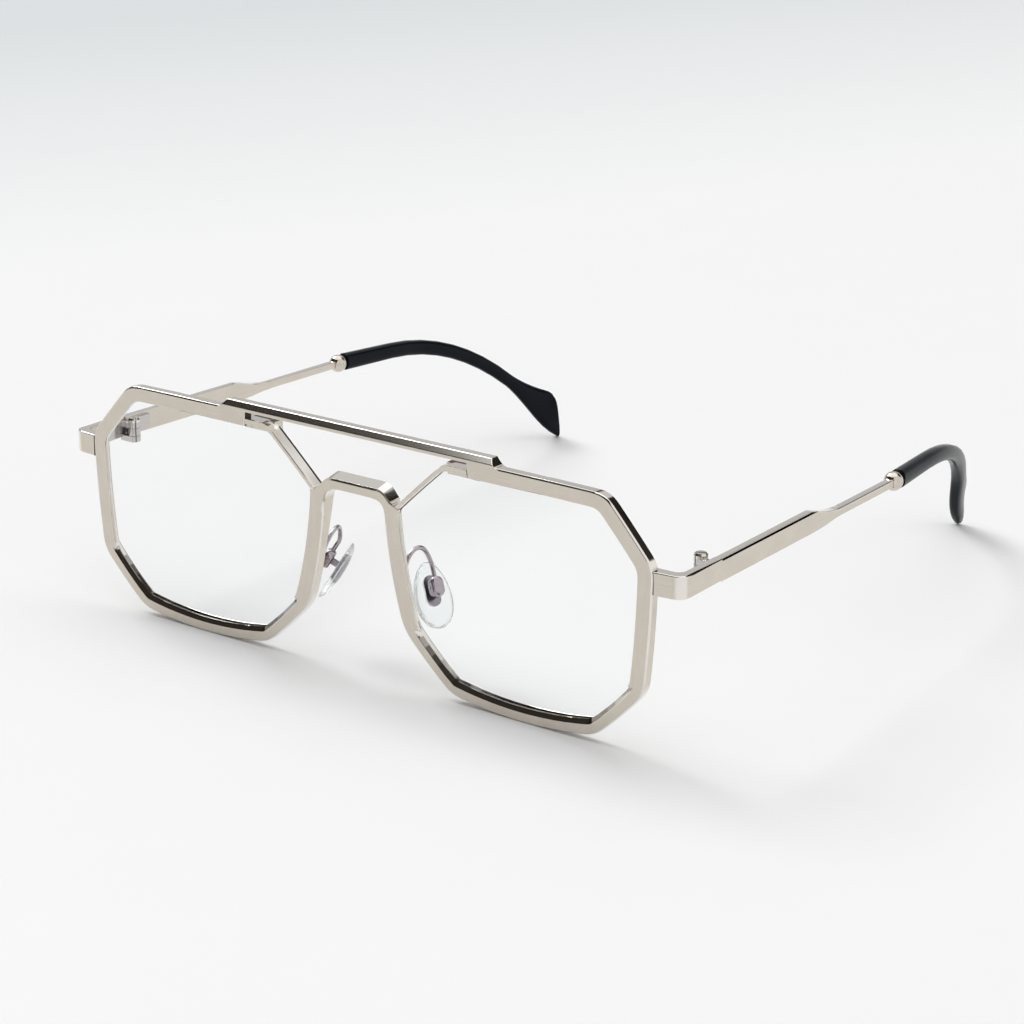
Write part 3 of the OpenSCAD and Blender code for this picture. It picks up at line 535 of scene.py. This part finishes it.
def in_temple_seam(place, facing):
    return abs(place[1] - TEMPLE_START) < SEAM_REACH and 0.3 < abs(facing[1]) < 0.9


def in_notch(place, facing):
    return abs(place[0] - NOTCH_WALL) < 0.1 and place[2] > 46 and facing[0] < -0.9


def on_block_top(place, facing):
    behind_wire = BLOCK_INNER_END < place[0] < NOTCH_WALL and place[1] > 1.9
    return behind_wire and place[2] > BLOCK_TOP - 0.1 and facing[2] > 0.9


def smooth_line(points, steps):
    """Points along the smooth curve through the given ones, with so many steps between each two."""
    points = [2 * points[0] - points[1]] + points + [2 * points[-1] - points[-2]]
    line = []
    for a, b, c, d in zip(points, points[1:], points[2:], points[3:]):
        slope, bend, twist = c - a, 2 * a - 5 * b + 4 * c - d, 3 * b - a - 3 * c + d
        for step in range(steps):
            t = step / steps
            line.append(0.5 * (2 * b + slope * t + bend * t * t + twist * t ** 3))
    return line + [points[-2]]


def tube(name, route, radius, material, sides=16, steps=7):
    """A round wire along a smooth line through the route's points, all in millimetres."""
    line = smooth_line([Vector(point) * MM for point in route], steps)
    turns = [2 * math.pi * k / sides for k in range(sides)]
    work = bmesh.new()
    side = None
    rings = []
    for index, centre in enumerate(line):
        along = (line[min(index + 1, len(line) - 1)] - line[max(index - 1, 0)]).normalized()
        side = side or along.orthogonal()
        side = (side - along * side.dot(along)).normalized()
        high = along.cross(side)
        spokes = [side * math.cos(turn) + high * math.sin(turn) for turn in turns]
        rings.append([work.verts.new(centre + radius * MM * spoke) for spoke in spokes])
    for here, there in zip(rings, rings[1:]):
        for k in range(sides):
            after = (k + 1) % sides
            work.faces.new((here[k], here[after], there[after], there[k])).smooth = True
    work.faces.new(list(reversed(rings[0])))
    work.faces.new(rings[-1])
    bmesh.ops.recalc_face_normals(work, faces=work.faces)
    work.normal_update()
    for edge in work.edges:
        edge.smooth = edge.calc_face_angle(0) <= math.radians(SHARP_TURN)
    return linked(name, work, material)


def smooth_over(names, material, sharp):
    """Pieces that stand for moulded CAD nodes, shaded as the smooth surfaces that they are."""
    for name in names:
        work = cleaned(name)
        for face in work.faces:
            face.smooth = True
        stand_in(name, work, material, sharp)


BODY_OF = {node: body for body, nodes in frame["record"]["behaviour"]["bodies"].items() for node in nodes}

rim_metal = brushed("brushed_rim", rim_grain, NICKEL)
side_metal = brushed("brushed_side", level_grain, NICKEL)
bright_metal = polished("polished_nickel", NICKEL_BRIGHT)
fitting_metal = polished("fitting_steel", STEEL, 0.16)
tip_plastic = acetate("black_acetate")
wire_metal = polished("pad_wire", WIRE_GREY, 0.1)
box_metal = polished("pad_box_metal", BOX_GREY, 0.08)
eyewire_metal = brushed("brushed_eyewire", level_grain, NICKEL, 0.26)
# Painted shade that lines grooves, seams and recesses
recess_shade = painted_recess_shade("painted_recess_shade")

# The CAD nodes that stay
# The ferrules' darker nickel is painted shade
dress(both("ferrule"), polished("ferrule_nickel", NICKEL_SHADED, 0.14))
dress(both("hinge_screw"), bright_metal)
dress(both("closing_screw", "pad_screw"), fitting_metal)
dress(both("pad_insert"), polished("insert_plate", INSERT_GREY, 0.22))
dress(both("lens"), clear_lens("lens_clear"))
dress(both("nose_pad"), silicone("pad_silicone"))

# The CAD nodes that softened pieces stand for
soften(["front_frame"], rim_metal, 0.1, 0.3, first=(is_front_outline, 0.3, 1.0))
soften(both("end_piece"), side_metal, 0.12, 0.3, first=(is_upper_outside, 0.25, 0.0))
soften(both("temple"), side_metal, 0.12, 0.6, first=(is_upper_outside, 0.3, 1.0))
soften(
    both("eyewire"), eyewire_metal, 0.06, 0.2, first=(is_bare_wire, 0.2, 2.0), reshape=crown_wire
)
soften(both("pad_box"), box_metal, 0.08, 0.3, first=(is_box_rim, 0.5, 0.0))
soften(both("front_hinge", "temple_hinge"), fitting_metal, 0.06, 0.2)
smooth_over(both("temple_tip"), tip_plastic, 60)

# Painted shade in the end pieces' groove, the temples' seams, the notch and the closing blocks' tops
darken(both("end_piece"), recess_shade, in_end_piece_gap)
darken(both("temple"), recess_shade, in_temple_seam)
darken(["front_frame"], recess_shade, in_notch)
darken(both("eyewire"), recess_shade, on_block_top)

for side, sign in (("left", 1), ("right", -1)):
    route = [(sign * x, y + FRONT_Y / MM, z) for x, y, z in ARM_ROUTE]
    arm = tube(f"pad_arm_{side}_wire", route, ARM_RADIUS, wire_metal)
    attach(arm, BODY_OF[f"pad_arm_{side}"])
    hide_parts(f"pad_arm_{side}")

# Floor: pale paper, with painted bluish shade that darkens it far to the back left
bpy.ops.mesh.primitive_plane_add(size=FLOOR_SIZE, location=(0, 0, 0))
floor = bpy.context.active_object
floor.name = "floor"
paper = Graph("floor_paper")
place = paper.coordinates()["Object"]
mottle = paper.noise(place, 40.0, 3.0, 0.5)
near_tone = paper.mix_colour(mottle, (0.865, 0.868, 0.868, 1), (0.875, 0.878, 0.878, 1))
# Painted shade: bluer and darker toward the back left
far = paper.span(paper.dot(place, (-0.9, 0.45, 0.0)), 0.30, 0.72)
paper_tone_and_shade = paper.mix_colour(far, near_tone, (0.665, 0.695, 0.71, 1))
paper_shader = paper.node("BsdfPrincipled", {"Base Color": paper_tone_and_shade, "Roughness": 0.6})
floor.data.materials.append(paper.finish(paper_shader.outputs[0]))


# The studio, in directions seen from the glasses: a white sweep to about 21 degrees above the floor, a pale back wall
# over a narrow dark gap, a dark room on the camera's side, a bright right side, a black flag at the back right, a pale
# band along the horizon, and a wide softbox overhead that leans to the back left
world = bpy.data.worlds.new("studio")
bpy.context.scene.world = world
world.use_nodes = True
room = world.node_tree
room.nodes.clear()


def room_node(kind, *inputs, **settings):
    made = room.nodes.new("ShaderNode" + kind)
    for key, value in settings.items():
        setattr(made, key, value)
    for index, value in enumerate(inputs):
        if isinstance(value, bpy.types.NodeSocket):
            room.links.new(value, made.inputs[index])
        elif value is not None:
            made.inputs[index].default_value = value
    return made.outputs


def ramp(value, low, high, new_low, new_high):
    return room_node("MapRange", value, low, high, new_low, new_high, interpolation_type="SMOOTHSTEP")[0]


def toward(direction):
    aim = Vector(direction).normalized()
    return room_node("VectorMath", heading, aim, operation="DOT_PRODUCT")["Value"]


def combined(operation, a, b):
    return room_node("Math", a, b, operation=operation)[0]


heading = room_node("TexCoord")["Generated"]
east, north, up = room_node("SeparateXYZ", heading)
walls = combined("ADD", ramp(up, 0.36, 0.40, SWEEP_LIGHT, 0.0), ramp(up, 0.43, 0.50, 0.0, WALL_LIGHT))
walls = combined("MULTIPLY", walls, ramp(north, -0.25, 0.10, DARK_ROOM, 1.0))
walls = combined("MAXIMUM", walls, ramp(east, 0.32, 0.42, 0.0, SIDE_LIGHT))
walls = combined("MULTIPLY", walls, ramp(toward(FLAG_TOWARD), 0.945, 0.97, 1.0, FLAG_SHADE))
walls = combined("MAXIMUM", walls, ramp(up, 0.05, 0.13, HORIZON_LIGHT, 0.0))
overhead = ramp(toward(SOFTBOX_TOWARD), 0.802, 0.812, 0.0, 1.0)
beside = combined("MULTIPLY", walls, combined("SUBTRACT", 1.0, overhead))
strength = combined("ADD", beside, combined("MULTIPLY", overhead, SOFTBOX_LIGHT))
# The Mix node's last two inputs are its colours
tint = room_node("Mix", ramp(strength, 0.0, 0.5, 0.0, 1.0), *[None] * 5, WARM_DARK, WHITE, data_type="RGBA")
sky = room_node("Background", tint[2], strength)
room_node("OutputWorld", sky[0])

lamp = bpy.data.lights.new("left_lamp", "SUN")
lamp.energy = LAMP_LIGHT
lamp.angle = math.radians(LAMP_SPREAD)
lamp_holder = bpy.data.objects.new("left_lamp", lamp)
bpy.context.scene.collection.objects.link(lamp_holder)
lamp_holder.rotation_euler = Vector(LAMP_LOOK).to_track_quat("-Z", "Y").to_euler()

bpy.context.scene.view_settings.view_transform = "Standard"

# Camera
lens = bpy.data.cameras.new("photo_camera")
lens.lens = CAMERA_LENS
lens.sensor_width = SENSOR
lens.clip_start = 0.01
lens.clip_end = 30
camera = bpy.data.objects.new("photo_camera", lens)
bpy.context.scene.collection.objects.link(camera)
camera.location = (CAMERA_AT[0] * MM, FRONT_Y + CAMERA_AT[1] * MM, CAMERA_AT[2] * MM)
camera.rotation_euler = Vector(CAMERA_LOOK).to_track_quat("-Z", "Y").to_euler()
bpy.context.scene.camera = camera
